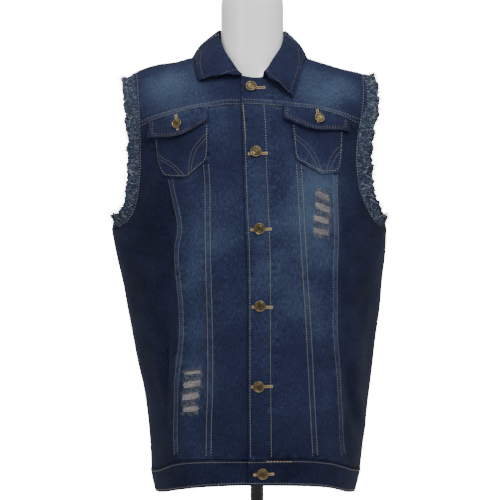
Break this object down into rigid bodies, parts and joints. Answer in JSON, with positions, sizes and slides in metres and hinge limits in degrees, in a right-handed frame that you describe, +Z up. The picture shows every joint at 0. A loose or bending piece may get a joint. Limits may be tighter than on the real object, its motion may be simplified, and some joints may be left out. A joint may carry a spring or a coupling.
{
  "type": "denim vest on a limbless dress form",
  "caption": "Sleeveless denim trucker vest with flap chest pockets, frayed armholes and worn slits, on a white limbless dress form and black stand.",
  "frame": {"origin": "centre of the round base's underside, where the stand rests", "axes": "+Z up, -Y to the front of the vest, +X to the wearer's left"},
  "size_m": [0.4409, 0.3016, 1.027],
  "materials": {
    "denim_faded": "washed indigo twill",
    "denim_dark": "indigo twill, less washed",
    "denim_frayed": "raw frayed cotton",
    "thread_gold": "heavy polyester topstitch",
    "thread_white": "undyed cotton weft threads",
    "button_brass": "antique brass",
    "form_white": "white gloss shell",
    "stand_black": "black satin paint"
  },
  "bodies": {
    "root": {"front_centre_right": "denim_faded", "front_centre_left": "denim_faded", "front_mid_right": "denim_faded", "front_mid_left": "denim_faded", "front_side_right": "denim_dark", "front_side_left": "denim_dark", "back_centre": "denim_faded", "back_side_right": "denim_dark", "back_side_left": "denim_dark", "yoke_front_right": "denim_faded", "yoke_front_left": "denim_faded", "yoke_back": "denim_faded", "placket": "denim_faded", "waistband": "denim_dark", "pocket_right": "denim_faded", "pocket_left": "denim_faded", "flap_right": "denim_faded", "flap_left": "denim_faded", "collar": "denim_faded", "armhole_fray_right": "denim_frayed", "armhole_fray_left": "denim_frayed", "button_neck": "button_brass", "button_chest": "button_brass", "button_upper": "button_brass", "button_middle": "button_brass", "button_lower": "button_brass", "button_waist": "button_brass", "flap_button_right": "button_brass", "flap_button_left": "button_brass", "dress_form": "form_white", "stand_pole": "stand_black", "stand_base": "stand_black"}
  },
  "joints": []
}
